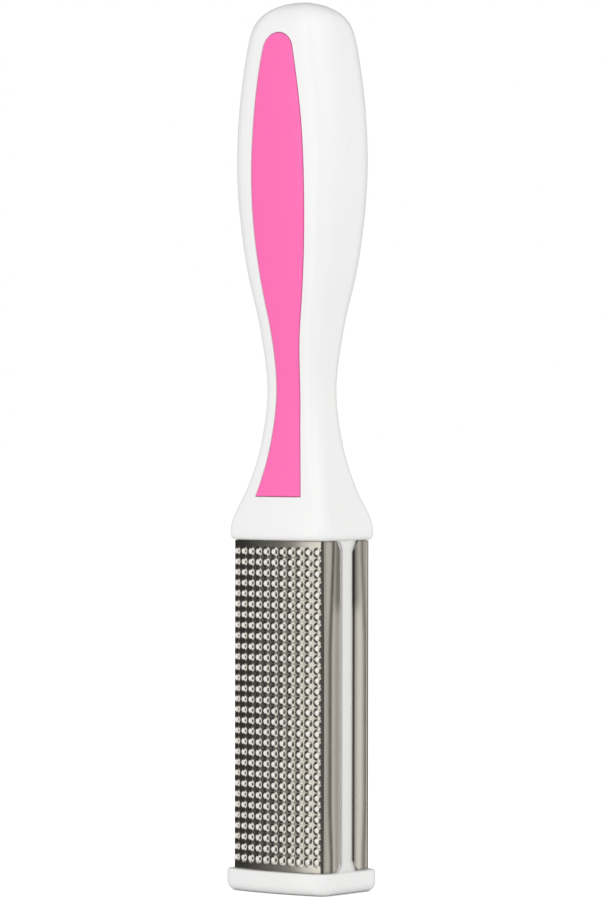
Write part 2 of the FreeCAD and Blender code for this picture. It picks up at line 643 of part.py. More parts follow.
def toothed_plate(column_pitch, row_pitch, base, tip, rise, margin):
    """Solid plate whose flat strips carry rows of teeth."""
    radius = size("face_radius")
    height = size("plate_height")
    columns = 1 + 2 * int((radius * CROWN_ANGLE - base / 2) / column_pitch)
    rows = 1 + int((height - 2 * margin - base) / row_pitch)
    angles = [(column - (columns - 1) / 2) * column_pitch / radius for column in range(columns)]
    middles = [(first + last) / 2 for first, last in zip(angles, angles[1:])]
    borders = [-CROWN_ANGLE] + middles + [CROWN_ANGLE]
    blank = plate_blank(borders)
    halfway = radius - size("sheet_thickness") / 2
    faces = []
    for face in blank.Faces:
        centre = face.CenterOfMass
        flat = isinstance(face.Surface, Part.Plane)
        reach = math.hypot(centre.x, centre.y - CROWN_AXIS_Y)
        upright = flat and abs(face.Surface.Axis.z) < 0.5
        if not (upright and reach > halfway and centre.y < -size("flange_opening")):
            faces.append(face)
    lift = Vector(0, 0, height)
    for angle, left, right in zip(angles, borders, borders[1:]):
        start, end = on_crown(radius, left), on_crown(radius, right)
        across = (end - start).normalize()
        outward = Vector(across.y, -across.x, 0)
        column = on_crown(radius, angle)
        column = column - outward * (column - start).dot(outward)
        outlines = [Part.makePolygon([start, end, end + lift, start + lift, start])]
        for row in range(rows):
            rise_z = height / 2 + (row - (rows - 1) / 2) * row_pitch
            teeth, foot = tooth_faces(column + Vector(0, 0, rise_z), across, outward, base, tip, rise)
            faces += teeth
            outlines.append(foot)
        faces.append(Part.makeFace(outlines, "Part::FaceMakerBullseye"))
    shell = Part.makeCompound(faces)
    shell.sewShape()
    return Part.Solid(shell.Shells[0])


plate_foot = value_of("Sizes.block_height + Sizes.plate_end_gap")
plate_coarse = doc.addObject("Part::Feature", "plate_coarse")
plate_coarse.Shape = toothed_plate(
    size("coarse_column_pitch"), size("coarse_row_pitch"), size("coarse_base"),
    size("coarse_tip"), size("coarse_rise"), size("coarse_margin"))
plate_coarse.Placement = Placement(Vector(0, 0, plate_foot), Rotation())
plate_fine = doc.addObject("Part::Feature", "plate_fine")
plate_fine.Shape = toothed_plate(
    size("fine_column_pitch"), size("fine_row_pitch"), size("fine_base"),
    0, size("fine_rise"), size("fine_margin"))
plate_fine.Placement = Placement(Vector(0, 0, plate_foot), Rotation(Vector(0, 0, 1), 180))

doc.recompute()

NODES = {
    "frame": frame,
    "inlay_front": inlay_front,
    "inlay_back": inlay_back,
    "plate_coarse": plate_coarse,
    "plate_fine": plate_fine,
}
for thing in doc.Objects:
    failed = [state for state in thing.State if state in ("Invalid", "Error")]
    if failed:
        raise RuntimeError(f"{thing.Name} did not rebuild: {failed}")
for label, node in NODES.items():
    if node.Shape.isNull() or not node.Shape.isValid():
        raise RuntimeError(f"{label} has no valid shape")
    if len(node.Shape.Solids) != 1:
        raise RuntimeError(f"{label} is {len(node.Shape.Solids)} solids")

os.makedirs("parts", exist_ok=True)
for label, node in NODES.items():
    node.Label = label
    node.Shape.exportStep(f"parts/{label}.step")
    print(label, round(node.Shape.Volume, 1), "mm3", len(node.Shape.Faces), "faces")
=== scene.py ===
"""Foot file on a pale studio floor: white moulding, two pink inlays and two stamped plates."""
import math

import bpy
import numpy as np
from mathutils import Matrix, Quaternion, Vector


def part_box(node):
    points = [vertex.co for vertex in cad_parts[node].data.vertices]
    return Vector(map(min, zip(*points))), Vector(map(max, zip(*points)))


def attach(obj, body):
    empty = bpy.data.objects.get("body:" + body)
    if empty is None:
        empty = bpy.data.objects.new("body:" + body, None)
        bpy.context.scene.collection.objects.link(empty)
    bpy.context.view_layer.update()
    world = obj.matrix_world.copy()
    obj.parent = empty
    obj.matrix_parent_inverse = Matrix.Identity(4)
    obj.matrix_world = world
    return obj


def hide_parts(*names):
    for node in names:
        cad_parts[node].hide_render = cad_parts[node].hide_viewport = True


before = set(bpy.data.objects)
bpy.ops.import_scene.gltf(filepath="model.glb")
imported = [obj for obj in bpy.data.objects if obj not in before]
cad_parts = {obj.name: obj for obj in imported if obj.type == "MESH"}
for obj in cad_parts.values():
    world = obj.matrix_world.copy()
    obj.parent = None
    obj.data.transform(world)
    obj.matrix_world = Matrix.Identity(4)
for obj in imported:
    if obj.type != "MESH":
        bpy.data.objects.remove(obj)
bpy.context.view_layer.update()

MM = 0.001


# Sizes: the frame gives the boxes, the rest repeats the CAD's driving sizes, some of them a little
# nearer to the photograph

FRAME_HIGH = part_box("frame")[1]
COARSE_LOW, COARSE_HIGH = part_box("plate_coarse")
INLAY_LOW, INLAY_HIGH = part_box("inlay_front")

TOP = FRAME_HIGH.z
BELLY_HALF_WIDTH = FRAME_HIGH.x
HEAD_HALF_WIDTH = COARSE_HIGH.x
PLATE_FOOT, PLATE_TOP = COARSE_LOW.z, COARSE_HIGH.z
PLATE_HEIGHT = PLATE_TOP - PLATE_FOOT
PLATE_END_GAP = 0.15 * MM
BLOCK_TOP = PLATE_FOOT - PLATE_END_GAP
COLLAR_FOOT = PLATE_TOP + PLATE_END_GAP
HANDLE_LENGTH = TOP - COLLAR_FOOT

HEAD_HALF_THICKNESS = 11.1 * MM
FACE_RADIUS = 65.0 * MM
SHEET = 0.5 * MM
BEND_RADIUS = 1.3 * MM
LIP_BEND_RADIUS = 0.7 * MM
LIP_LENGTH = 1.3 * MM
CORNER_CUT_LENGTH = 2.8 * MM
CORNER_CUT_DEPTH = 1.8 * MM
CORE_GAP = 0.1 * MM
CORE_INSET = SHEET + CORE_GAP

# Columns and rows of nubs, their pitches, half width and half length of a nub's foot, its rise,
# mesh steps over a nub, how far the lips lie from the head's middle and how far the flanges bow in
COARSE = {
    "columns": 11, "rows": 30, "column_pitch": 2.6 * MM, "row_pitch": 2.67 * MM,
    "foot": (1.14 * MM, 1.32 * MM), "rise": 0.55 * MM, "steps": 12,
    "lip": 2.4 * MM, "bow": 0.28 * MM}
FINE = {
    "columns": 11, "rows": 35, "column_pitch": 2.3 * MM, "row_pitch": 2.3 * MM,
    "foot": (0.80 * MM, 0.72 * MM), "rise": 0.35 * MM, "steps": 8,
    "lip": 2.65 * MM, "bow": 0.24 * MM}

RIB_HALF_THICKNESS = 1.75 * MM
RIB_OFFSET = -0.2 * MM
RIB_FLARE = 2.4 * MM
RIB_EDGE = 0.35 * MM
RIB_FACE_RADIUS = 1.0
BLOCK_MARGIN = 2.0 * MM
BLOCK_CORNER = 4.0 * MM
BLOCK_END_RADIUS = 2.4 * MM
BLOCK_EDGE_RADIUS = 0.6 * MM
COLLAR_MARGIN = 1.25 * MM
COLLAR_LIP = 1.2 * MM
NECK_HALF_WIDTH, NECK_HALF_THICKNESS = 8.8 * MM, 5.7 * MM
NECK_RISE, BELLY_RISE = 38.0 * MM, 95.0 * MM
BELLY_HALF_THICKNESS = 10.75 * MM

# The drops lower the inlay's foot and top against the frame's box, the belly's share divides the
# two radii of its curve from neck to belly
INLAY_THICKNESS = 1.8 * MM
INLAY_GAP = 0.12 * MM
INLAY_FOOT_DROP, INLAY_TOP_DROP = 0.9 * MM, 1.5 * MM
INLAY_EDGE = 0.32 * MM
INLAY_NECK_HALF, INLAY_NECK_RISE = 3.65 * MM, 39.6 * MM
INLAY_BELLY_HALF, INLAY_BELLY_RISE = 8.3 * MM, 89.6 * MM
INLAY_FLARE_RADIUS = 120.0 * MM
INLAY_TOP_RADIUS = 4.7 * MM
INLAY_SHOULDER = math.radians(38)
INLAY_BELLY_SHARE = 0.643
RECESS_EDGE = 0.22 * MM

JOIN_OVERLAP = 0.4 * MM
CUTTER_RISE = 1.5 * MM
SMOOTH_ANGLE, PLATE_SMOOTH_ANGLE = math.radians(32), math.radians(50)
SECTION_STEPS = 8

# Sections of the handle. The lip has rise and inset as shares of its radius, the others have rise,
# half width and half thickness as shares of the way from the neck to the collar, from the neck to
# the belly, or of the belly. The last value is the corner radius by the half thickness.
LIP_SECTION_SHARES = (
    (0.0, 0.80, 0.24), (0.30, 0.28, 0.243), (0.85, 0.03, 0.243))
COLLAR_SECTION_SHARES = (
    (0.060, 1.0, 1.0, 0.243), (0.12, 0.955, 0.97, 0.25), (0.185, 0.83, 0.88, 0.27),
    (0.291, 0.615, 0.67, 0.35), (0.397, 0.45, 0.485, 0.43), (0.555, 0.245, 0.27, 0.53),
    (0.716, 0.10, 0.12, 0.61), (0.877, 0.02, 0.02, 0.68), (1.0, 0.0, 0.0, 0.70))
GRIP_SECTION_SHARES = (
    (0.11, 0.047, 0.084, 0.69), (0.22, 0.152, 0.226, 0.67), (0.33, 0.304, 0.373, 0.67),
    (0.42, 0.469, 0.508, 0.67), (0.54, 0.675, 0.669, 0.67), (0.66, 0.811, 0.806, 0.67),
    (0.79, 0.92, 0.92, 0.67), (1.0, 1.0, 1.0, 0.67))
TOP_SECTION_SHARES = (
    (0.20, 0.985, 1.0, 0.68), (0.41, 0.937, 0.997, 0.70), (0.60, 0.868, 0.982, 0.73),
    (0.75, 0.807, 0.95, 0.78), (0.85, 0.738, 0.89, 0.83), (0.92, 0.615, 0.75, 0.87),
    (0.965, 0.445, 0.545, 0.90), (0.990, 0.27, 0.33, 0.92), (1.0, 0.14, 0.165, 0.92))

# The camera that took the photograph
CAMERA_AZIMUTH = math.radians(38.4)
CAMERA_DISTANCE = 1.2
CAMERA_HEIGHT = 0.120
CAMERA_AIM = 0.1113
CAMERA_SIDE = -0.34 * MM
CAMERA_ROLL = 0.0014
CAMERA_LENS, CAMERA_SENSOR = 189.6, 36.0
CAMERA_REACH = 100.0


# Mesh helpers

def make_object(name, points, faces, smooth_angle=SMOOTH_ANGLE):
    mesh = bpy.data.meshes.new(name)
    mesh.from_pydata([tuple(p) for p in points], [], [tuple(f) for f in faces])
    mesh.validate()
    mesh.shade_smooth()
    mesh.set_sharp_from_angle(angle=smooth_angle)
    obj = bpy.data.objects.new(name, mesh)
    bpy.context.scene.collection.objects.link(obj)
    return obj


def combine(target, tool, operation):
    """Boolean of two closed pieces, kept in the target."""
    modifier = target.modifiers.new("combine", "BOOLEAN")
    modifier.operation = operation
    modifier.solver = "EXACT"
    modifier.object = tool
    evaluated = target.evaluated_get(bpy.context.evaluated_depsgraph_get())
    mesh = bpy.data.meshes.new_from_object(evaluated)
    target.modifiers.clear()
    target.data = mesh
    bpy.data.objects.remove(tool)


def grid_faces(rows, columns, start=0, closed=False, flip=False):
    """Quads between neighbouring rows of points; closed joins the last column to the first."""
    faces = []
    last = columns if closed else columns - 1
    for row in range(rows - 1):
        for column in range(last):
            beside = (column + 1) % columns
            low, high = start + row * columns, start + (row + 1) * columns
            quad = (low + column, low + beside, high + beside, high + column)
            faces.append(quad[::-1] if flip else quad)
    return faces


def spline(knots, values, at):
    """Natural cubic spline through rows of values."""
    count = len(knots)
    gap = np.diff(knots)
    slope = np.diff(values, axis=0) / gap[:, None]
    matrix = np.eye(count)
    right = np.zeros_like(values)
    for i in range(1, count - 1):
        matrix[i, i - 1:i + 2] = gap[i - 1], 2 * (gap[i - 1] + gap[i]), gap[i]
        right[i] = 6 * (slope[i] - slope[i - 1])
    bend = np.linalg.solve(matrix, right)
    span = np.clip(np.searchsorted(knots, at) - 1, 0, count - 2)
    width = gap[span][:, None]
    before = (knots[span + 1] - at)[:, None] / width
    after = 1 - before
    curve = (before ** 3 - before) * bend[span] + (after ** 3 - after) * bend[span + 1]
    return before * values[span] + after * values[span + 1] + curve * width ** 2 / 6


def crowned_corner(half_width, half_thickness, crown, corner):
    """Place of the corner arc that touches the side and the crowned face, and the crown's angle."""
    across = half_width - corner
    angle = np.arcsin(across / (crown - corner))
    back = (crown - half_thickness) - (crown - corner) * np.cos(angle)
    return across, -back, angle


def section_ring(half_width, half_thickness, crown, corner, rise, face=26, bend=12, side=5):
    """Points round a rectangle with crowned faces and rounded corners."""
    across, through, angle = crowned_corner(half_width, half_thickness, crown, corner)
    quarter = []
    for t in np.linspace(0, 1, face // 2 + 1)[:-1]:
        turn = angle * t
        quarter.append((crown * math.sin(turn), half_thickness - crown * (1 - math.cos(turn))))
    for t in np.linspace(0, 1, bend + 1)[:-1]:
        turn = angle + (math.pi / 2 - angle) * t
        quarter.append((across + corner * math.sin(turn), through + corner * math.cos(turn)))
    for t in np.linspace(0, 1, side + 1)[:-1]:
        quarter.append((half_width, through * (1 - t)))
    back = quarter + [(x, -y) for x, y in [(half_width, 0.0)] + quarter[:0:-1]]
    ring = back + [(-x, y) for x, y in [(0.0, -half_thickness)] + back[:0:-1]]
    return [(x, y, rise) for x, y in ring]


def skin(name, rings):
    """Closed piece through rings that are stacked upwards."""
    count = len(rings[0])
    points = [p for ring in rings for p in ring]
    faces = grid_faces(len(rings), count, closed=True, flip=True)
    top = (len(rings) - 1) * count
    faces.append(tuple(range(count)))
    faces.append(tuple(range(top + count - 1, top - 1, -1)))
    return make_object(name, points, faces)


def rounding(radius, steps=6):
    """Heights and insets of a quarter round, from its edge to its full size."""
    turns = [math.pi / 2 * step / steps for step in range(steps + 1)]
    return [(radius * (1 - math.cos(t)), radius * (1 - math.sin(t))) for t in turns]


# The handle's form

def between(low, high, share):
    """Value at a share of the way from low to high."""
    return low + share * (high - low)


def handle_stations():
    """Height, half width, half thickness and corner radius along the handle, finely spaced."""
    collar_width = HEAD_HALF_WIDTH + COLLAR_MARGIN
    collar_thickness = HEAD_HALF_THICKNESS + COLLAR_MARGIN
    rows = []
    for rise, inset, corner in LIP_SECTION_SHARES:
        width, thickness = collar_width - inset * COLLAR_LIP, collar_thickness - inset * COLLAR_LIP
        rows.append((rise * COLLAR_LIP, width, thickness, corner))
    for rise, wide, thick, corner in COLLAR_SECTION_SHARES:
        rows.append((
            rise * NECK_RISE, between(NECK_HALF_WIDTH, collar_width, wide),
            between(NECK_HALF_THICKNESS, collar_thickness, thick), corner))
    for rise, wide, thick, corner in GRIP_SECTION_SHARES:
        rows.append((
            between(NECK_RISE, BELLY_RISE, rise), between(NECK_HALF_WIDTH, BELLY_HALF_WIDTH, wide),
            between(NECK_HALF_THICKNESS, BELLY_HALF_THICKNESS, thick), corner))
    for rise, wide, thick, corner in TOP_SECTION_SHARES:
        rows.append((
            between(BELLY_RISE, HANDLE_LENGTH, rise),
            wide * BELLY_HALF_WIDTH, thick * BELLY_HALF_THICKNESS, corner))
    table = np.array([(COLLAR_FOOT + z, a, b, corner * b) for z, a, b, corner in rows])
    steps = np.linalg.norm(np.diff(table, axis=0), axis=1)
    knots = np.concatenate([[0], np.cumsum(steps)])
    spans = [np.linspace(low, high, SECTION_STEPS + 1)[:-1] for low, high in zip(knots, knots[1:])]
    at = np.concatenate(spans + [knots[-1:]])
    return spline(knots, table, at)


STATIONS = handle_stations()
HANDLE_CROWN = FACE_RADIUS + COLLAR_MARGIN


def face_depth(x, z):
    """How far out the handle's wide face lies at x and height z."""
    width, thickness, corner = (np.interp(z, STATIONS[:, 0], STATIONS[:, i]) for i in (1, 2, 3))
    across, through, angle = crowned_corner(width, thickness, HANDLE_CROWN, corner)
    x = np.abs(x)
    crowned = thickness - HANDLE_CROWN + np.sqrt(HANDLE_CROWN ** 2 - x ** 2)
    reach = np.clip(corner ** 2 - (x - across) ** 2, 0, None)
    return np.where(x <= HANDLE_CROWN * np.sin(angle), crowned, through + np.sqrt(reach))


# The white moulding

def block_rings():
    """The end block: a large round at its free end and a small one towards the plates."""
    wide, thick = HEAD_HALF_WIDTH + BLOCK_MARGIN, HEAD_HALF_THICKNESS + BLOCK_MARGIN
    levels = rounding(BLOCK_END_RADIUS)
    levels += [(BLOCK_TOP - rise, inset) for rise, inset in reversed(rounding(BLOCK_EDGE_RADIUS, 4))]
    return [
        section_ring(wide - inset, thick - inset, FACE_RADIUS + BLOCK_MARGIN - inset,
                     BLOCK_CORNER - inset, rise)
        for rise, inset in levels]


def rib_rings():
    """The strip between the flanges, which flares into the block and the collar."""
    levels = [(rise, RIB_HALF_THICKNESS + inset) for rise, inset in rounding(RIB_FLARE, 7)]
    low = [(BLOCK_TOP - JOIN_OVERLAP, RIB_HALF_THICKNESS + RIB_FLARE)]
    low += [(BLOCK_TOP + rise, half) for rise, half in levels]
    high = [(COLLAR_FOOT - rise, half) for rise, half in reversed(levels)]
    high.append((COLLAR_FOOT + JOIN_OVERLAP, RIB_HALF_THICKNESS + RIB_FLARE))
    rings = []
    for rise, half in low + high:
        ring = section_ring(
            HEAD_HALF_WIDTH, half, RIB_FACE_RADIUS, RIB_EDGE, rise, face=4, bend=4, side=1)
        rings.append([(x, y + RIB_OFFSET, z) for x, y, z in ring])
    return rings


def core_rings():
    """The straight core behind the plates."""
    return [
        section_ring(
            HEAD_HALF_WIDTH - CORE_INSET, HEAD_HALF_THICKNESS - CORE_INSET,
            FACE_RADIUS - CORE_INSET, BEND_RADIUS - CORE_INSET, rise)
        for rise in (BLOCK_TOP - JOIN_OVERLAP, COLLAR_FOOT + JOIN_OVERLAP)]


def moulding():
    """Handle, core, ribs and block in one closed piece, with both recesses cut."""
    rings = [section_ring(a, b, HANDLE_CROWN, corner, z) for z, a, b, corner in STATIONS]
    body = skin("moulding", rings)
    combine(body, skin("core", core_rings()), "UNION")
    combine(body, skin("rib", rib_rings()), "UNION")
    combine(body, skin("block", block_rings()), "UNION")
    for facing in (-1, 1):
        combine(body, recess_cutter(facing), "DIFFERENCE")
    body.data.shade_smooth()
    body.data.set_sharp_from_angle(angle=SMOOTH_ANGLE)
    return body


# The inlays

def inlay_sides(grow):
    """Bottom, right, top and left stretches of an inlay's outline in front view."""
    start = INLAY_LOW.z - INLAY_FOOT_DROP - grow
    neck_z, belly_z = COLLAR_FOOT + INLAY_NECK_RISE, COLLAR_FOOT + INLAY_BELLY_RISE
    neck, belly = INLAY_NECK_HALF + grow, INLAY_BELLY_HALF + grow
    top_radius, flare_radius = INLAY_TOP_RADIUS + grow, INLAY_FLARE_RADIUS - grow
    top_z = INLAY_HIGH.z - INLAY_TOP_DROP - INLAY_TOP_RADIUS
    reach = top_z - belly_z
    upper_radius = (belly ** 2 + reach ** 2 - top_radius ** 2) / (2 * (belly - top_radius))
    both_radii = ((belly_z - neck_z) ** 2 + (belly - neck) ** 2) / (2 * (belly - neck))
    belly_radius = INLAY_BELLY_SHARE * both_radii + grow
    neck_radius = both_radii - belly_radius
    upper = math.asin(reach / (upper_radius - top_radius))
    lower = math.asin((belly_z - neck_z) / both_radii)
    right = []
    flare = math.asin((neck_z - start) / flare_radius)
    for t in np.linspace(-flare, 0, 13):
        right.append((neck + flare_radius * (1 - math.cos(t)), neck_z + flare_radius * math.sin(t)))
    for t in np.linspace(0, lower, 15)[1:]:
        right.append((neck + neck_radius * (1 - math.cos(t)), neck_z + neck_radius * math.sin(t)))
    for t in np.linspace(-lower, 0, 15)[1:]:
        right.append((belly - belly_radius * (1 - math.cos(t)), belly_z + belly_radius * math.sin(t)))
    for t in np.linspace(0, upper, 15)[1:]:
        right.append((belly - upper_radius * (1 - math.cos(t)), belly_z + upper_radius * math.sin(t)))
    for t in np.linspace(upper, INLAY_SHOULDER, 6)[1:]:
        right.append((top_radius * math.cos(t), top_z + top_radius * math.sin(t)))
    top = []
    for t in np.linspace(INLAY_SHOULDER, math.pi - INLAY_SHOULDER, 25):
        top.append((top_radius * math.cos(t), top_z + top_radius * math.sin(t)))
    left = [(-x, z) for x, z in reversed(right)]
    bottom = [(x, start) for x in np.linspace(left[-1][0], right[0][0], 25)]
    return [np.array(side) for side in (bottom, right, top, left)]


def loop_of(sides):
    """Joined stretches as one closed loop of points."""
    return np.concatenate([side[:-1] for side in sides])


def inward(loop):
    """Unit normals into a counter-clockwise loop, mitred at its corners."""
    before, after = loop - np.roll(loop, 1, axis=0), np.roll(loop, -1, axis=0) - loop
    normals = []
    for step in (before, after):
        across = np.stack([-step[:, 1], step[:, 0]], axis=1)
        normals.append(across / np.linalg.norm(step, axis=1)[:, None])
    mean = normals[0] + normals[1]
    return 2 * mean / np.sum(mean ** 2, axis=1)[:, None]


def filled(sides):
    """Points across the inside of four joined stretches, rows from the bottom to the top."""
    bottom, right, top, left = sides
    top, left = top[::-1], left[::-1]
    rows = []
    for i, v in enumerate(np.linspace(0, 1, len(right))):
        for j, u in enumerate(np.linspace(0, 1, len(bottom))):
            edge = (1 - v) * bottom[j] + v * top[j] + (1 - u) * left[i] + u * right[i]
            corner = (1 - u) * (1 - v) * bottom[0] + u * (1 - v) * bottom[-1]
            corner = corner + (1 - u) * v * top[0] + u * v * top[-1]
            rows.append(edge - corner)
    return np.array(rows), len(right), len(bottom)


def rim_indices(rows, columns):
    """The rim of a filled patch in the order of its loop."""
    order = [column for column in range(columns - 1)]
    order += [row * columns + columns - 1 for row in range(rows - 1)]
    order += [(rows - 1) * columns + column for column in range(columns - 1, 0, -1)]
    order += [row * columns for row in range(rows - 1, 0, -1)]
    return order


def capped(name, sides, levels, facing, flip):
    """Closed piece: a filled patch at the first level, loops through the others, a patch behind.

    Each level gives an inset from the outline and a depth below the handle's face."""
    loop = loop_of(sides)
    normals = inward(loop)
    joints = np.cumsum([0] + [len(side) - 1 for side in sides])

    def inset_sides(inset):
        moved = loop + normals * inset
        ring = np.concatenate([moved, moved[:1]])
        return [ring[first:last + 1] for first, last in zip(joints, joints[1:])]

    def placed(points, depth):
        out = face_depth(points[:, 0], points[:, 1]) - depth
        return [(x, facing * y, z) for (x, z), y in zip(points, out)]

    points, faces, rims = [], [], []
    for end in (0, -1):
        inset, depth = levels[end]
        collar_reflection, rows, columns = filled(inset_sides(inset))
        start = len(points)
        points += placed(collar_reflection, depth)
        faces += grid_faces(rows, columns, start, flip=(end == -1) != flip)
        rims.append([start + index for index in rim_indices(rows, columns)])
    loops = [rims[0]]
    for inset, depth in levels[1:-1]:
        start = len(points)
        points += placed(loop + normals * inset, depth)
        loops.append(list(range(start, start + len(loop))))
    loops.append(rims[1])
    count = len(loop)
    for upper, lower in zip(loops, loops[1:]):
        for i in range(count):
            j = (i + 1) % count
            quad = (upper[i], lower[i], lower[j], upper[j])
            faces.append(quad[::-1] if flip else quad)
    return make_object(name, points, faces)


def recess_cutter(facing):
    """Cuts an inlay's recess, with a rounded edge where it meets the handle's face."""
    levels = [(-outset, depth) for depth, outset in rounding(RECESS_EDGE, 4)[1:]]
    levels = [(levels[0][0], -CUTTER_RISE)] + levels + [(0.0, INLAY_THICKNESS)]
    return capped(f"recess_{facing}", inlay_sides(INLAY_GAP), levels, facing, facing > 0)


def inlay(name, facing):
    """Stands a little proud of the handle's face, with a rounded edge."""
    levels = [(inset, drop - INLAY_GAP) for drop, inset in rounding(INLAY_EDGE, 5)]
    levels.append((0.0, INLAY_THICKNESS - INLAY_GAP))
    return capped(name, inlay_sides(0.0), levels, facing, facing > 0)


# The stamped plates

CROWN_CENTRE = FACE_RADIUS - HEAD_HALF_THICKNESS
BEND_X, BEND_Y, CROWN_ANGLE = (
    float(v) for v in crowned_corner(HEAD_HALF_WIDTH, HEAD_HALF_THICKNESS, FACE_RADIUS, BEND_RADIUS))

# A nub's form, and the shares of its rise and foot that the dimple in its tip takes
NUB_SQUARENESS, NUB_STEEPNESS = 2.2, 1.6
DIMPLE_RISE_SHARE, DIMPLE_FOOT_SHARE = 0.04, 0.16

# How far up the plate its cut corners lean, and where and by what share the flanges bow in more
LEAN_LENGTH = 4.5 * MM
TOP_BOW_START, TOP_BOW_LENGTH, TOP_BOW_SHARE = 54 * MM, 26 * MM, 0.5
FOOT_BOW_END, FOOT_BOW_LENGTH, FOOT_BOW_SHARE = 18 * MM, 14 * MM, 0.2
BOW_POWER = 1.5


def face_point(s):
    """Place and outward normal on the crowned face or its bend, s along the sheet from the middle."""
    side, s = np.sign(s), np.abs(s)
    turn = s / FACE_RADIUS
    bend_turn = CROWN_ANGLE + (s - FACE_RADIUS * CROWN_ANGLE) / BEND_RADIUS
    on_bend = turn > CROWN_ANGLE
    angle = np.where(on_bend, bend_turn, turn)
    x = np.where(on_bend, BEND_X + BEND_RADIUS * np.sin(angle), FACE_RADIUS * np.sin(angle))
    y = np.where(
        on_bend, -BEND_Y - BEND_RADIUS * np.cos(angle), CROWN_CENTRE - FACE_RADIUS * np.cos(angle))
    bow = np.clip((angle - CROWN_ANGLE) / (math.pi / 2 - CROWN_ANGLE), 0, 1) ** 2
    return side * x, y, side * np.sin(angle), -np.cos(angle), side * bow


def flange_points(lip):
    """From the end of the right bend along the flange, round the lip's bend and along the lip."""
    rows = []
    flange_end = lip + LIP_BEND_RADIUS
    for t in np.linspace(0, 1, 17)[1:]:
        rows.append((HEAD_HALF_WIDTH, -between(BEND_Y, flange_end, t), 1.0, 0.0, (1 - t) ** 2))
    for turn in np.linspace(math.pi / 2, math.pi, 7)[1:]:
        x, y = math.sin(turn), -math.cos(turn)
        rows.append((
            HEAD_HALF_WIDTH - LIP_BEND_RADIUS * (1 - x), -flange_end + LIP_BEND_RADIUS * y, x, y,
            0.0))
    rows.append((HEAD_HALF_WIDTH - LIP_LENGTH, -lip, 0.0, 1.0, 0.0))
    return np.array(rows)


def cell_stations(count, pitch, half_foot, steps):
    """Stations across a row of nubs, dense over each nub."""
    inside = np.linspace(-half_foot, half_foot, steps + 1)
    middles = (np.arange(count) - (count - 1) / 2) * pitch
    stations = [middle + inside for middle in middles]
    return np.concatenate([[middles[0] - pitch / 2]] + stations + [[middles[-1] + pitch / 2]]), middles


def nub_relief(s, h, columns, rows, foot, rise):
    """Height of the stamped nubs: rounded square bells with a small dimple in each tip."""
    u = np.min(np.abs(s[:, None] - columns[None, :]), axis=1) / foot[0]
    v = np.min(np.abs(h[:, None] - rows[None, :]), axis=1) / foot[1]
    reach = (u[None, :] ** NUB_SQUARENESS + v[:, None] ** NUB_SQUARENESS) ** (1 / NUB_SQUARENESS)
    bell = np.clip(1 - reach ** 2, 0, None) ** NUB_STEEPNESS
    return rise * (bell - DIMPLE_RISE_SHARE * np.exp(-(reach / DIMPLE_FOOT_SHARE) ** 2))


def plate(
        name, turned, columns, rows, column_pitch, row_pitch, foot, rise, steps, lip, bow):
    """Closed sheet-metal piece: toothed outer surface, plain inner surface and cut edges.

    A turned plate lies on the back of the head."""
    s, column_places = cell_stations(columns, column_pitch, foot[0], steps)
    bend_end = FACE_RADIUS * CROWN_ANGLE + BEND_RADIUS * (math.pi / 2 - CROWN_ANGLE)
    rest = np.linspace(s[-1], bend_end, 6)[1:]
    s = np.concatenate([-rest[::-1], s, rest])
    h, row_places = cell_stations(rows, row_pitch, foot[1], steps)
    h, row_places = h + PLATE_HEIGHT / 2, row_places + PLATE_HEIGHT / 2
    h = np.concatenate([np.linspace(0, h[0], 4)[:-1], h, np.linspace(h[-1], PLATE_HEIGHT, 4)[1:]])
    face = np.stack(face_point(s), axis=1)
    flange = flange_points(lip)
    mirrored = flange[::-1] * (-1, 1, -1, 1, -1)
    section = np.concatenate([mirrored, face, flange])
    relief = np.zeros((len(h), len(section)))
    relief[:, len(flange):-len(flange)] = nub_relief(s, h, column_places, row_places, foot, rise)

    cut = CORNER_CUT_LENGTH * np.clip(1 - (-section[:, 1] - lip) / CORNER_CUT_DEPTH, 0, 1)
    low = np.clip(h, 0, LEAN_LENGTH)[:, None]
    high = np.clip(PLATE_HEIGHT - h, 0, LEAN_LENGTH)[:, None]
    height = h[:, None] + cut * (1 - low / LEAN_LENGTH) - cut * (1 - high / LEAN_LENGTH)

    turn = -1 if turned else 1
    by_top = np.clip((h - TOP_BOW_START) / TOP_BOW_LENGTH, 0, 1) ** BOW_POWER
    by_foot = np.clip((FOOT_BOW_END - h) / FOOT_BOW_LENGTH, 0, 1) ** BOW_POWER
    bows = bow * (1 + TOP_BOW_SHARE * by_top + FOOT_BOW_SHARE * by_foot)
    across = section[:, 0] - section[:, 4] * bows[:, None] + section[:, 2] * relief
    through = section[:, 1] + section[:, 3] * relief
    outer = np.stack([turn * across, turn * through, PLATE_FOOT + height], axis=2).reshape(-1, 3)
    inner_x = turn * (section[:, 0] - section[:, 4] * bow - section[:, 2] * SHEET)
    inner_y = turn * (section[:, 1] - section[:, 3] * SHEET)
    inner = [np.stack([inner_x, inner_y, PLATE_FOOT + height[end]], axis=1) for end in (0, -1)]
    points = np.concatenate([outer] + inner)

    count = len(section)
    top, inner_low = (len(h) - 1) * count, len(h) * count
    inner_high = inner_low + count
    faces = grid_faces(len(h), count)
    for i in range(count - 1):
        faces.append((inner_low + i, inner_high + i, inner_high + i + 1, inner_low + i + 1))
        faces.append((i, inner_low + i, inner_low + i + 1, i + 1))
        faces.append((top + i, top + i + 1, inner_high + i + 1, inner_high + i))
    first = [row * count for row in range(len(h))]
    last = [row * count + count - 1 for row in range(len(h))]
    faces.append(tuple(first + [inner_high, inner_low]))
    faces.append(tuple(last[::-1] + [inner_low + count - 1, inner_high + count - 1]))
    return make_object(name, points, faces, PLATE_SMOOTH_ANGLE)
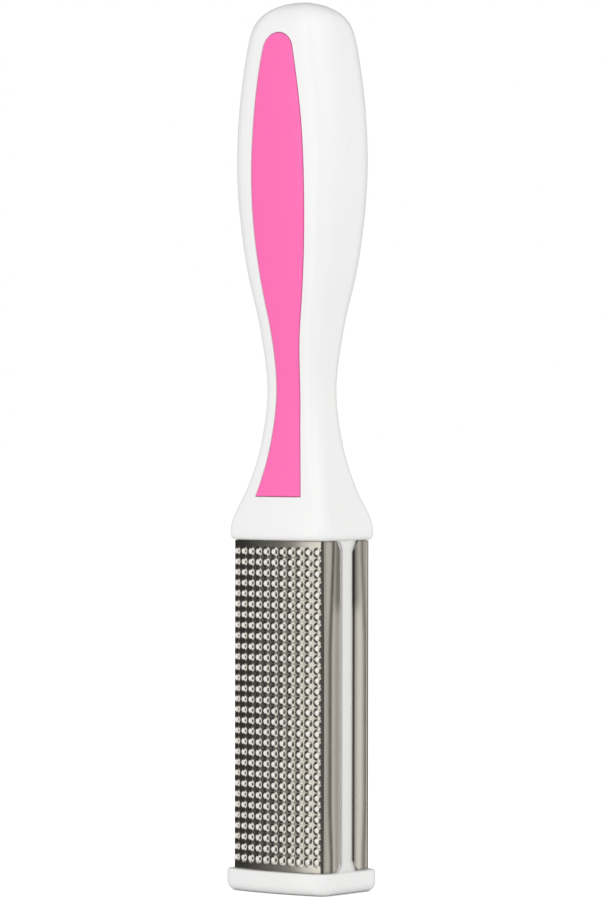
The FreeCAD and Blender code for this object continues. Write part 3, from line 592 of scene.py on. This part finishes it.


# Materials

# How near walls must be for painted shade, how sharply it gathers, and the depth of the rolling lines
SEAM_REACH, GROOVE_REACH = 0.6 * MM, 1.0 * MM
CREVICE_SHADE_POWER = 1.5
LINE_DEPTH = 0.0006 * MM

# Painted shade: the head's rib is darker than the handle, from just inside the block's and collar's
# edges
RIB_SHADE_INSET, RIB_SHADE_SHARE = 0.5 * MM, 0.36

STEEL_ROUGHNESS = 0.05, 0.11

# Nub tips, satin and whitened as a painted highlight: heights over the sheet where this begins and is
# full, the roughness that it adds and the share that no longer mirrors
TIP_LOW, TIP_HIGH = 0.25 * MM, 0.46 * MM
TIP_ROUGHNESS, TIP_SCATTER_SHARE = 0.45, 0.80

# The crowned face is a little rougher than the flanges: what it adds, how far before the bend the
# change starts, and its width
FACE_ROUGHNESS, FACE_EDGE, FACE_EDGE_WIDTH = 0.10, 0.2 * MM, 1.1 * MM

# Painted dark reflection on the flanges by the collar: length, fade along it, depth from the middle,
# strength
COLLAR_REFLECTION_LENGTH, COLLAR_REFLECTION_FADE, COLLAR_REFLECTION_DEPTH, COLLAR_REFLECTION_SHARE = 20.0 * MM, 6.0 * MM, 7.0 * MM, 0.65


def srgb(red, green, blue):
    """A display colour in 0 to 255 as linear values."""
    values = []
    for channel in (red, green, blue):
        c = channel / 255
        values.append(c / 12.92 if c <= 0.04045 else ((c + 0.055) / 1.055) ** 2.4)
    return (*values, 1.0)


def grey(level):
    """A linear grey."""
    return level, level, level, 1.0


class Nodes:
    """Short calls for making a node tree."""

    def __init__(self, tree):
        self.tree = tree
        tree.nodes.clear()

    def add(self, kind, inputs=None, **settings):
        made = self.tree.nodes.new(kind)
        for key, value in settings.items():
            setattr(made, key, value)
        for key, value in (inputs or {}).items():
            if isinstance(value, bpy.types.NodeSocket):
                self.tree.links.new(value, made.inputs[key])
            else:
                made.inputs[key].default_value = value
        return made

    def math(self, operation, *values, clamp=False):
        made = self.add(
            "ShaderNodeMath", dict(enumerate(values)), operation=operation, use_clamp=clamp)
        return made.outputs[0]

    def ramp(self, factor, stops):
        made = self.add("ShaderNodeValToRGB", {"Fac": factor})
        elements = made.color_ramp.elements
        while len(elements) < len(stops):
            elements.new(0.5)
        for element, (place, value) in zip(elements, stops):
            element.position = place
            element.color = (*value, 1.0)
        return made.outputs["Color"]

    def noise(self, vector, scale, detail=2.0, roughness=0.5):
        made = self.add(
            "ShaderNodeTexNoise",
            {"Vector": vector, "Scale": scale, "Detail": detail, "Roughness": roughness})
        return made.outputs["Fac"]

    def place(self, scale=(1.0, 1.0, 1.0)):
        coordinates = self.add("ShaderNodeTexCoord").outputs["Object"]
        return self.add("ShaderNodeMapping", {"Vector": coordinates, "Scale": scale}).outputs[0]

    def mapped(self, value, low, high):
        made = self.add("ShaderNodeMapRange", {"Value": value, "To Min": low, "To Max": high})
        return made.outputs[0]

    def step(self, value, none, full):
        """Smooth change from 0 where the value is none to 1 where it is full."""
        made = self.add(
            "ShaderNodeMapRange", {"Value": value, "From Min": none, "From Max": full},
            interpolation_type="SMOOTHSTEP")
        return made.outputs[0]

    def mix(self, factor, first, second):
        made = self.add("ShaderNodeMix", data_type="RGBA")
        for index, value in ((0, factor), (6, first), (7, second)):
            if isinstance(value, bpy.types.NodeSocket):
                self.tree.links.new(value, made.inputs[index])
            else:
                made.inputs[index].default_value = value
        return made.outputs[2]

    def crevice_shade(self, distance):
        """How closed in a place is by what lies within the distance, for painted shade in the grooves.
        """
        opening = self.add("ShaderNodeAmbientOcclusion", {"Distance": distance}, samples=6)
        closed = self.math("SUBTRACT", 1.0, opening.outputs["AO"])
        return self.math("POWER", closed, CREVICE_SHADE_POWER, clamp=True)

    def bump(self, height, distance, strength=1.0, normal=None):
        inputs = {"Height": height, "Distance": distance, "Strength": strength}
        if normal is not None:
            inputs["Normal"] = normal
        return self.add("ShaderNodeBump", inputs).outputs[0]


def new_material(name):
    material = bpy.data.materials.new(name)
    material.use_nodes = True
    return material, Nodes(material.node_tree)


def finish_material(nodes, shader):
    nodes.add("ShaderNodeOutputMaterial", {"Surface": shader.outputs[0]})


def plastic(name, colour, shade, painted_shade, roughness, ripple, grain):
    """Moulded plastic: faint colour drift, flow ripples, fine grain, rubbed patches, painted shade on
    the rib and in the grooves.
    """
    material, nodes = new_material(name)
    place = nodes.place()
    drift = nodes.noise(place, scale=28.0, detail=3.0)
    long = nodes.place(scale=(1.0, 1.0, 0.35))
    rubbed = nodes.noise(long, scale=160.0, detail=4.0, roughness=0.6)
    unshaded = nodes.mix(drift, colour, shade)
    height = nodes.add("ShaderNodeSeparateXYZ", {"Vector": place}).outputs["Z"]
    # Painted shade on the head's rib between the flanges, over the head's height.
    passed = [
        nodes.step(height, edge - RIB_FLARE, edge + RIB_FLARE)
        for edge in (BLOCK_TOP + RIB_SHADE_INSET, COLLAR_FOOT - RIB_SHADE_INSET)]
    rib_shade = nodes.math("MULTIPLY", nodes.math("SUBTRACT", *passed), RIB_SHADE_SHARE)
    rib_shaded = nodes.mix(rib_shade, unshaded, painted_shade)
    # Painted shade: the colour darkens in the seams and grooves, where walls lie close.
    base = nodes.mix(nodes.crevice_shade(SEAM_REACH), rib_shaded, painted_shade)
    waves = nodes.bump(nodes.noise(place, scale=45.0, detail=1.0), ripple)
    fine = nodes.bump(nodes.noise(place, scale=2600.0, detail=2.0), grain, normal=waves)
    shader = nodes.add("ShaderNodeBsdfPrincipled", {
        "Base Color": base,
        "Roughness": nodes.mapped(rubbed, *roughness),
        "Normal": fine,
        "IOR": 1.5,
    })
    finish_material(nodes, shader)
    return material


def steel():
    """Bright plated sheet: rolling lines, dull patches, painted dark reflection and groove shade,
    satin tips with a painted highlight.
    """
    material, nodes = new_material("plated_steel")
    axes = nodes.add("ShaderNodeSeparateXYZ", {"Vector": nodes.place()}).outputs
    depth = nodes.math("ABSOLUTE", axes["Y"])
    out = nodes.math("ADD", depth, CROWN_CENTRE)
    reach = nodes.math("SQRT", nodes.math(
        "ADD", nodes.math("POWER", axes["X"], 2.0), nodes.math("POWER", out, 2.0)))
    tip = nodes.step(nodes.math("SUBTRACT", reach, FACE_RADIUS), TIP_LOW, TIP_HIGH)
    lines = nodes.noise(nodes.place(scale=(1.0, 1.0, 0.02)), scale=3800.0, detail=2.0)
    patches = nodes.noise(nodes.place(), scale=210.0, detail=4.0, roughness=0.6)
    sheen = nodes.mix(patches, srgb(224, 220, 212), srgb(234, 231, 224))
    # Painted dark reflection: darker colour on the flanges next to the collar.
    by_collar = nodes.step(
        axes["Z"], PLATE_TOP - COLLAR_REFLECTION_LENGTH, PLATE_TOP - COLLAR_REFLECTION_LENGTH + COLLAR_REFLECTION_FADE)
    by_lip = nodes.step(depth, COLLAR_REFLECTION_DEPTH, COLLAR_REFLECTION_DEPTH / 2)
    collar_reflection = nodes.math("MULTIPLY", nodes.math("MULTIPLY", by_collar, by_lip), COLLAR_REFLECTION_SHARE)
    reflection_darkened = nodes.mix(collar_reflection, sheen, srgb(116, 113, 108))
    # Painted highlight: the nub tips get a near-white colour along with their satin finish.
    tips_whitened = nodes.mix(tip, reflection_darkened, srgb(248, 246, 241))
    # Painted shade: darker colour in the grooves by the lips and the rib, where walls lie close.
    base = nodes.mix(nodes.crevice_shade(GROOVE_REACH), tips_whitened, srgb(70, 66, 60))
    rolled = nodes.bump(lines, LINE_DEPTH)
    smooth = nodes.mapped(patches, *STEEL_ROUGHNESS)
    face = nodes.step(depth, BEND_Y - FACE_EDGE, BEND_Y - FACE_EDGE + FACE_EDGE_WIDTH)
    satin = nodes.math("ADD", smooth, nodes.math("MULTIPLY", face, FACE_ROUGHNESS))
    roughness = nodes.math("ADD", satin, nodes.math("MULTIPLY", tip, TIP_ROUGHNESS))
    mirrored = nodes.math("SUBTRACT", 1.0, nodes.math("MULTIPLY", tip, TIP_SCATTER_SHARE))
    shader = nodes.add("ShaderNodeBsdfPrincipled", {
        "Base Color": base,
        "Metallic": mirrored,
        "Roughness": roughness,
        "Normal": rolled,
    })
    finish_material(nodes, shader)
    return material


# Studio

FLOOR_REACH, FLOOR_LEVEL, FLOOR_GLOW = 14.0, 0.88, 0.42
ROOM_LEVEL = 0.90
ROOM_TINT = (1.0, 0.975, 0.93)


def add_floor():
    """Pale floor that the camera sees as white, with the object's shadow kept."""
    corners = [(x * FLOOR_REACH, y * FLOOR_REACH, 0) for x, y in ((-1, -1), (1, -1), (1, 1), (-1, 1))]
    floor = make_object("floor", corners, [(0, 1, 2, 3)])
    material, nodes = new_material("pale_floor")
    rays = nodes.add("ShaderNodeLightPath").outputs
    diffuse = nodes.add("ShaderNodeBsdfDiffuse", {"Color": grey(FLOOR_LEVEL)})
    glow = nodes.add("ShaderNodeEmission", {
        "Color": grey(1.0),
        "Strength": nodes.math("MULTIPLY", rays["Is Camera Ray"], FLOOR_GLOW)})
    lit = nodes.add("ShaderNodeAddShader", {0: diffuse.outputs[0], 1: glow.outputs[0]})
    clear = nodes.add("ShaderNodeBsdfTransparent")
    seen = nodes.add("ShaderNodeMixShader", {
        0: rays["Is Glossy Ray"], 1: lit.outputs[0], 2: clear.outputs[0]})
    finish_material(nodes, seen)
    floor.data.materials.append(material)


def azimuth_share(degrees):
    """Place on the world's ramp of a direction, counted from -Y towards +X."""
    return degrees / 360 + 0.5


# How bright the room is to metal, by direction in degrees from -Y towards +X
WALLS = (
    (-180, 0.12), (-165, 0.30), (-125, 0.45), (-95, 0.06), (-56, 0.03), (-47, 0.10), (-36, 0.16),
    (-27, 0.28), (-21, 0.84), (-2, 1.15), (3, 0.28), (8, 0.09), (60, 0.08), (102, 0.07),
    (112, 0.30), (120, 0.55), (131.6, 0.55), (132.9, 0.03), (134.6, 0.03), (135.6, 0.72),
    (136.4, 0.72), (137.4, 0.46), (141.9, 0.38), (142.9, 0.46), (144.5, 0.76), (148.0, 0.76),
    (151.2, 0.20), (152.4, 0.18), (154.6, 0.50), (157.0, 0.40), (161.0, 0.12), (180, 0.12))
CEILING = (
    (-180, 0.03), (-60, 0.03), (-45, 0.07), (-24, 0.32), (0, 1.3), (20, 0.14), (30, 0.90),
    (62, 0.90), (80, 0.20), (110, 0.30))
GROUND = (
    (-180, 0.03), (-60, 0.03), (-45, 0.06), (-24, 0.30), (-5, 1.3), (30, 0.14), (110, 0.30))

# How steep a direction is where the ceiling and the ground begin and where they are full
CEILING_EDGE, GROUND_EDGE = (0.10, 0.35), (0.25, 0.50)


def room_band(nodes, azimuth, band):
    """Warm grey levels round the room."""
    stops = [
        (azimuth_share(degrees), tuple(level * tint for tint in ROOM_TINT))
        for degrees, level in band]
    return nodes.ramp(azimuth, stops)


def add_world():
    """White to the camera, even light on what scatters, and a room with walls for what mirrors."""
    world = bpy.data.worlds.new("studio")
    bpy.context.scene.world = world
    world.use_nodes = True
    nodes = Nodes(world.node_tree)
    direction = nodes.add("ShaderNodeTexCoord").outputs["Generated"]
    axes = nodes.add("ShaderNodeSeparateXYZ", {"Vector": direction}).outputs
    turned = nodes.math("ARCTAN2", axes["X"], nodes.math("MULTIPLY", axes["Y"], -1.0))
    azimuth = nodes.math("ADD", nodes.math("DIVIDE", turned, 2 * math.pi), 0.5)
    wall, ceiling, ground = (room_band(nodes, azimuth, band) for band in (WALLS, CEILING, GROUND))
    height = axes["Z"]
    depth = nodes.math("MULTIPLY", height, -1.0)
    above, below = (
        nodes.ramp(value, [(none, (0, 0, 0)), (full, (1, 1, 1))])
        for value, (none, full) in ((height, CEILING_EDGE), (depth, GROUND_EDGE)))
    room = nodes.mix(below, nodes.mix(above, wall, ceiling), ground)
    rays = nodes.add("ShaderNodeLightPath").outputs
    glossy = nodes.math("MAXIMUM", rays["Is Glossy Ray"], rays["Is Transmission Ray"])
    lit = nodes.mix(glossy, grey(ROOM_LEVEL), room)
    colour = nodes.mix(rays["Is Camera Ray"], lit, grey(1.0))
    background = nodes.add("ShaderNodeBackground", {"Color": colour, "Strength": 1.0})
    nodes.add("ShaderNodeOutputWorld", {"Surface": background.outputs[0]})


def add_lamp(name, azimuth, elevation, distance, across, power):
    data = bpy.data.lights.new(name, "AREA")
    data.shape = "SQUARE"
    data.size = across
    data.energy = power
    lamp = bpy.data.objects.new(name, data)
    bpy.context.scene.collection.objects.link(lamp)
    a, e = math.radians(azimuth), math.radians(elevation)
    back = Vector((math.sin(a) * math.cos(e), -math.cos(a) * math.cos(e), math.sin(e)))
    lamp.location = back * distance + Vector((0, 0, CAMERA_AIM))
    lamp.visible_glossy = False
    lamp.rotation_mode = "QUATERNION"
    lamp.rotation_quaternion = back.to_track_quat("Z", "Y")


def add_camera():
    data = bpy.data.cameras.new("camera")
    data.sensor_width = CAMERA_SENSOR
    data.lens = CAMERA_LENS
    data.clip_end = CAMERA_REACH
    camera = bpy.data.objects.new("camera", data)
    bpy.context.scene.collection.objects.link(camera)
    right = Vector((math.cos(CAMERA_AZIMUTH), math.sin(CAMERA_AZIMUTH), 0))
    back = Vector((math.sin(CAMERA_AZIMUTH), -math.cos(CAMERA_AZIMUTH), 0))
    aim = right * CAMERA_SIDE + Vector((0, 0, CAMERA_AIM))
    camera.location = right * CAMERA_SIDE + back * CAMERA_DISTANCE + Vector((0, 0, CAMERA_HEIGHT))
    camera.rotation_mode = "QUATERNION"
    level = (camera.location - aim).to_track_quat("Z", "Y")
    camera.rotation_quaternion = level @ Quaternion((0, 0, 1), CAMERA_ROLL)
    bpy.context.scene.camera = camera


# Assembly

def put(obj, node, material):
    obj.data.materials.clear()
    obj.data.materials.append(material)
    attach(obj, "root")
    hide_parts(node)


# The darkest colour of each plastic is painted shade, for its seams, grooves and the head's rib.
white = plastic(
    "white_plastic", colour=srgb(243, 243, 243), shade=srgb(240, 240, 239),
    painted_shade=srgb(206, 204, 200), roughness=(0.16, 0.26), ripple=0.02 * MM, grain=0.0008 * MM)
pink = plastic(
    "pink_plastic", colour=srgb(255, 113, 185), shade=srgb(254, 107, 179),
    painted_shade=srgb(238, 96, 166), roughness=(0.26, 0.38), ripple=0.01 * MM, grain=0.0015 * MM)
metal = steel()

put(moulding(), "frame", white)
put(inlay("front_inlay", -1), "inlay_front", pink)
put(inlay("back_inlay", 1), "inlay_back", pink)
put(plate("coarse_plate", False, **COARSE), "plate_coarse", metal)
put(plate("fine_plate", True, **FINE), "plate_fine", metal)

add_floor()
add_world()
add_lamp("key", azimuth=-10, elevation=15, distance=1.6, across=1.1, power=4.5)
add_lamp("fill", azimuth=95, elevation=20, distance=1.8, across=1.2, power=4.5)
add_camera()
bpy.context.scene.view_settings.view_transform = "Standard"
